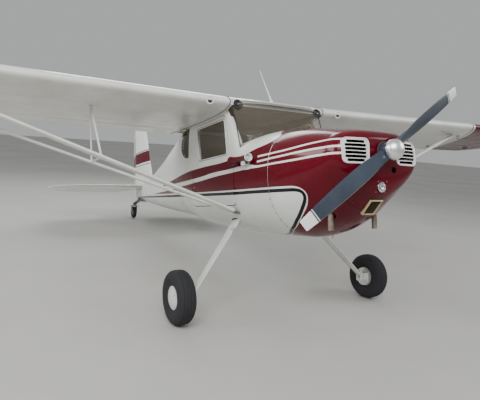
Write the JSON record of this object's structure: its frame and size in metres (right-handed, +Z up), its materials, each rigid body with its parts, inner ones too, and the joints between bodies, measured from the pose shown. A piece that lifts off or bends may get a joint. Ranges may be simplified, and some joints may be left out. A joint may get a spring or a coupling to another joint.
{
  "type": "two-seat high-wing light aircraft with tail wheel",
  "caption": "High-wing strut-braced light aircraft on main wheels and a tail wheel, with turning propeller and wheels, moving control surfaces, flaps and doors.",
  "frame": {"origin": "middle of the box round the parked aircraft, on the floor", "axes": "+X towards the nose, +Y to port, +Z up; the airframe stands 10.96 degrees nose up on its three wheels"},
  "size_m": [6.4744, 10.16, 2.2253],
  "materials": {
    "red_paint": "gloss enamel",
    "white_paint": "gloss enamel",
    "clear_acrylic": "clear moulded acrylic",
    "bare_aluminium": "brushed and polished aluminium",
    "polished_aluminium": "polished aluminium",
    "spring_steel": "oiled steel",
    "exhaust_steel": "heat-stained steel",
    "blade_paint": "satin paint with white tips",
    "tyre_rubber": "ribbed aircraft tyre",
    "engine_metal": null,
    "seat_vinyl": "sewn vinyl",
    "black_plastic": "matt black",
    "filter_brass": "brass frame with wire gauze"
  },
  "bodies": {
    "airframe": {"nose_bowl": "red_paint", "cowling": "red_paint", "engine": "engine_metal", "cabin": "white_paint", "tailcone": "white_paint", "windshield": "clear_acrylic", "landing_light": "polished_aluminium", "air_filter": "filter_brass", "instrument_panel": "black_plastic", "seat_base": "black_plastic", "seat_cushion": "seat_vinyl", "seat_back": "seat_vinyl", "venturi": "red_paint", "antenna": "white_paint", "fin": "white_paint", "tail_spring": "spring_steel", "wing_right": "white_paint", "wing_left": "white_paint", "front_strut_right": "white_paint", "front_strut_left": "white_paint", "rear_strut_right": "white_paint", "rear_strut_left": "white_paint", "jury_struts_right": "white_paint", "jury_struts_left": "white_paint", "quarter_window_right": "clear_acrylic", "quarter_window_left": "clear_acrylic", "grille_right": "white_paint", "grille_left": "white_paint", "exhaust_stack_right": "exhaust_steel", "exhaust_stack_left": "exhaust_steel", "gear_leg_right": "bare_aluminium", "gear_leg_left": "bare_aluminium", "brake_right": "white_paint", "brake_left": "white_paint", "stabiliser_right": "white_paint", "stabiliser_left": "white_paint"},
    "propeller": {"propeller": "blade_paint", "spinner": "polished_aluminium"},
    "rudder": {"rudder": "white_paint"},
    "elevator": {"elevator": "white_paint"},
    "tail_fork": {"tail_fork": "spring_steel"},
    "tail_wheel": {"tail_tyre": "tyre_rubber", "tail_hub": "bare_aluminium"},
    "main_wheel_right": {"tyre_right": "tyre_rubber", "wheel_right": "white_paint"},
    "door_right": {"door_right": "white_paint", "door_window_right": "clear_acrylic"},
    "flap_right": {"flap_right": "white_paint"},
    "aileron_right": {"aileron_right": "red_paint"},
    "main_wheel_left": {"tyre_left": "tyre_rubber", "wheel_left": "white_paint"},
    "door_left": {"door_left": "white_paint", "door_window_left": "clear_acrylic"},
    "flap_left": {"flap_left": "white_paint"},
    "aileron_left": {"aileron_left": "red_paint"}
  },
  "joints": [
    {"name": "propeller_spin", "type": "hinge", "parent": "airframe", "child": "propeller", "pos_m": [3.12233, 0, 1.52856], "axis": [0.9818, 0, 0.1901], "continuous": true},
    {"name": "rudder_hinge", "type": "hinge", "parent": "airframe", "child": "rudder", "pos_m": [-2.51366, 0, 0.96678], "axis": [-0.1901, 0, 0.9818], "range_deg": [-4, 28]},
    {"name": "elevator_hinge", "type": "hinge", "parent": "airframe", "child": "elevator", "pos_m": [-2.32582, 0, 0.57535], "axis": [0, 1, 0], "range_deg": [-18, 28]},
    {"name": "tail_wheel_swivel", "type": "hinge", "parent": "airframe", "child": "tail_fork", "pos_m": [-2.58883, 0, 0.21884], "axis": [-0.1901, 0, 0.9818], "continuous": true},
    {"name": "tail_wheel_spin", "type": "hinge", "parent": "tail_fork", "child": "tail_wheel", "pos_m": [-2.62693, 0, 0.1], "axis": [0, 1, 0], "continuous": true},
    {"name": "main_wheel_right_spin", "type": "hinge", "parent": "airframe", "child": "main_wheel_right", "pos_m": [2.06119, -1.055, 0.223], "axis": [0, 1, 0], "continuous": true},
    {"name": "door_right_hinge", "type": "hinge", "parent": "airframe", "child": "door_right", "pos_m": [1.855, -0.521, 1.30351], "axis": [-0.1901, 0, 0.9818], "range_deg": [0, 38]},
    {"name": "flap_right_hinge", "type": "hinge", "parent": "airframe", "child": "flap_right", "pos_m": [0.62425, -1.5, 1.64379], "axis": [-0.0033, -0.9998, 0.0171], "range_deg": [0, 40]},
    {"name": "aileron_right_hinge", "type": "hinge", "parent": "airframe", "child": "aileron_right", "pos_m": [0.61761, -3.5, 1.67806], "axis": [0.0033, 0.9998, -0.0171], "range_deg": [-18, 18]},
    {"name": "main_wheel_left_spin", "type": "hinge", "parent": "airframe", "child": "main_wheel_left", "pos_m": [2.06119, 1.055, 0.223], "axis": [0, 1, 0], "continuous": true},
    {"name": "door_left_hinge", "type": "hinge", "parent": "airframe", "child": "door_left", "pos_m": [1.855, 0.521, 1.30351], "axis": [0.1901, 0, -0.9818], "range_deg": [0, 38]},
    {"name": "flap_left_hinge", "type": "hinge", "parent": "airframe", "child": "flap_left", "pos_m": [0.62425, 1.5, 1.64379], "axis": [0.0033, -0.9998, -0.0171], "range_deg": [0, 40]},
    {"name": "aileron_left_hinge", "type": "hinge", "parent": "airframe", "child": "aileron_left", "pos_m": [0.61761, 3.5, 1.67806], "axis": [-0.0033, 0.9998, 0.0171], "range_deg": [-18, 18]}
  ],
  "couplings": [
    {"joint": "flap_left_hinge", "follows": "flap_right_hinge", "ratio": 1},
    {"joint": "aileron_left_hinge", "follows": "aileron_right_hinge", "ratio": -1}
  ]
}
